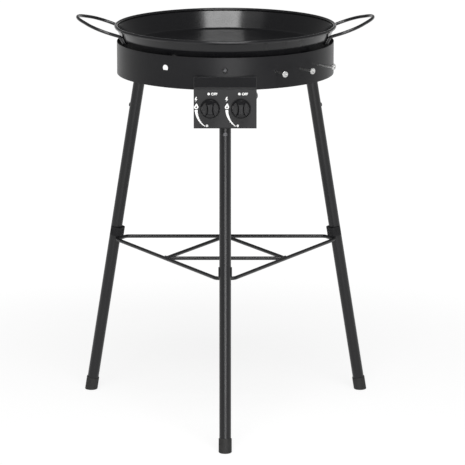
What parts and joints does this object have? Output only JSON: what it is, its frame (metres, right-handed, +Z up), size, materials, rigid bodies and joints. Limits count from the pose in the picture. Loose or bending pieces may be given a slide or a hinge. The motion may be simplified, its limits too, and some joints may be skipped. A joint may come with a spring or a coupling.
{
  "type": "griddle pan with gas burner",
  "caption": "Wide shallow black griddle pan with wire loop handles on a round gas burner with a wind shield, control knobs and a braced three-legged stand.",
  "frame": {"origin": "on the floor, under the axis of the wind shield and the pan", "axes": "+Z up along the axis of the wind shield; -Y towards the person at the control panel; +X to that person's right"},
  "size_m": [0.6484, 0.608, 0.8842],
  "materials": {
    "black_enamel": "glossy black enamel on sheet steel and wire",
    "black_paint": "semi-gloss black heat-resistant paint",
    "plate_gloss": "glossy black, bare",
    "saddle_plastic": "moulded black",
    "foot_rubber": "soft black",
    "plated_steel": "zinc-plated",
    "black_plating": "black-plated",
    "knob_plastic": "moulded black, satin",
    "valve_metal": "die-cast",
    "stem_steel": "drawn",
    "brass": "machined",
    "gas_pipe": "plated tube",
    "burner_iron": "as cast, blackened",
    "piezo_plastic": "moulded black",
    "insulator_ceramic": "white glazed",
    "electrode_steel": "heat-resisting wire"
  },
  "bodies": {
    "stand": {"blank_name_plate": "plate_gloss", "brace_inner_frame": "black_paint", "brace_outer_frame": "black_paint", "brace_saddle_front": "saddle_plastic", "brace_saddle_left": "saddle_plastic", "brace_saddle_right": "saddle_plastic", "brace_screws": "black_plating", "bracket_nuts": "plated_steel", "bracket_screws": "black_plating", "burner_arms": "black_paint", "burner_ring_inner": "burner_iron", "burner_ring_outer": "burner_iron", "control_panel": "black_paint", "electrode_insulators": "insulator_ceramic", "electrode_tips": "electrode_steel", "foot_cap_front": "foot_rubber", "foot_cap_left": "foot_rubber", "foot_cap_right": "foot_rubber", "gas_manifold": "gas_pipe", "hose_nipple": "brass", "inlet_elbow": "black_plating", "left_piezo": "piezo_plastic", "left_valve_body": "valve_metal", "left_valve_bonnet": "valve_metal", "left_valve_jet": "brass", "leg_bracket_front": "black_paint", "leg_bracket_left": "black_paint", "leg_bracket_right": "black_paint", "leg_front": "black_paint", "leg_left": "black_paint", "leg_right": "black_paint", "leg_screws": "black_plating", "leg_spigot_front": "black_paint", "leg_spigot_left": "black_paint", "leg_spigot_right": "black_paint", "mixing_tube_inner": "gas_pipe", "mixing_tube_outer": "gas_pipe", "peg_nuts": "plated_steel", "right_piezo": "piezo_plastic", "right_valve_body": "valve_metal", "right_valve_bonnet": "valve_metal", "right_valve_jet": "brass", "utensil_pegs": "plated_steel", "wind_shield": "black_paint"},
    "pan": {"griddle_pan": "black_enamel", "pan_handle_left": "black_enamel", "pan_handle_right": "black_enamel"},
    "left_plug": {"left_valve_plug": "brass", "left_valve_spring": "stem_steel"},
    "left_knob": {"left_knob": "knob_plastic", "left_valve_stem": "stem_steel"},
    "right_plug": {"right_valve_plug": "brass", "right_valve_spring": "stem_steel"},
    "right_knob": {"right_knob": "knob_plastic", "right_valve_stem": "stem_steel"}
  },
  "joints": [
    {"name": "pan_lift", "type": "slide", "parent": "stand", "child": "pan", "axis": [0, 0, 1], "range_m": [0, 0.15]},
    {"name": "left_valve_turn", "type": "hinge", "parent": "stand", "child": "left_plug", "pos_m": [-0.0316, -0.19866, 0.71837], "axis": [0, -0.9962, 0.0872], "range_deg": [0, 170]},
    {"name": "left_knob_push", "type": "slide", "parent": "left_plug", "child": "left_knob", "axis": [0, 0.9962, -0.0872], "range_m": [0, 0.0025], "stiffness_N_per_m": 1200, "springref_m": -0.002, "deforming": ["left_valve_spring"]},
    {"name": "right_valve_turn", "type": "hinge", "parent": "stand", "child": "right_plug", "pos_m": [0.0332, -0.19866, 0.71837], "axis": [0, -0.9962, 0.0872], "range_deg": [0, 170]},
    {"name": "right_knob_push", "type": "slide", "parent": "right_plug", "child": "right_knob", "axis": [0, 0.9962, -0.0872], "range_m": [0, 0.0025], "stiffness_N_per_m": 1200, "springref_m": -0.002, "deforming": ["right_valve_spring"]}
  ]
}
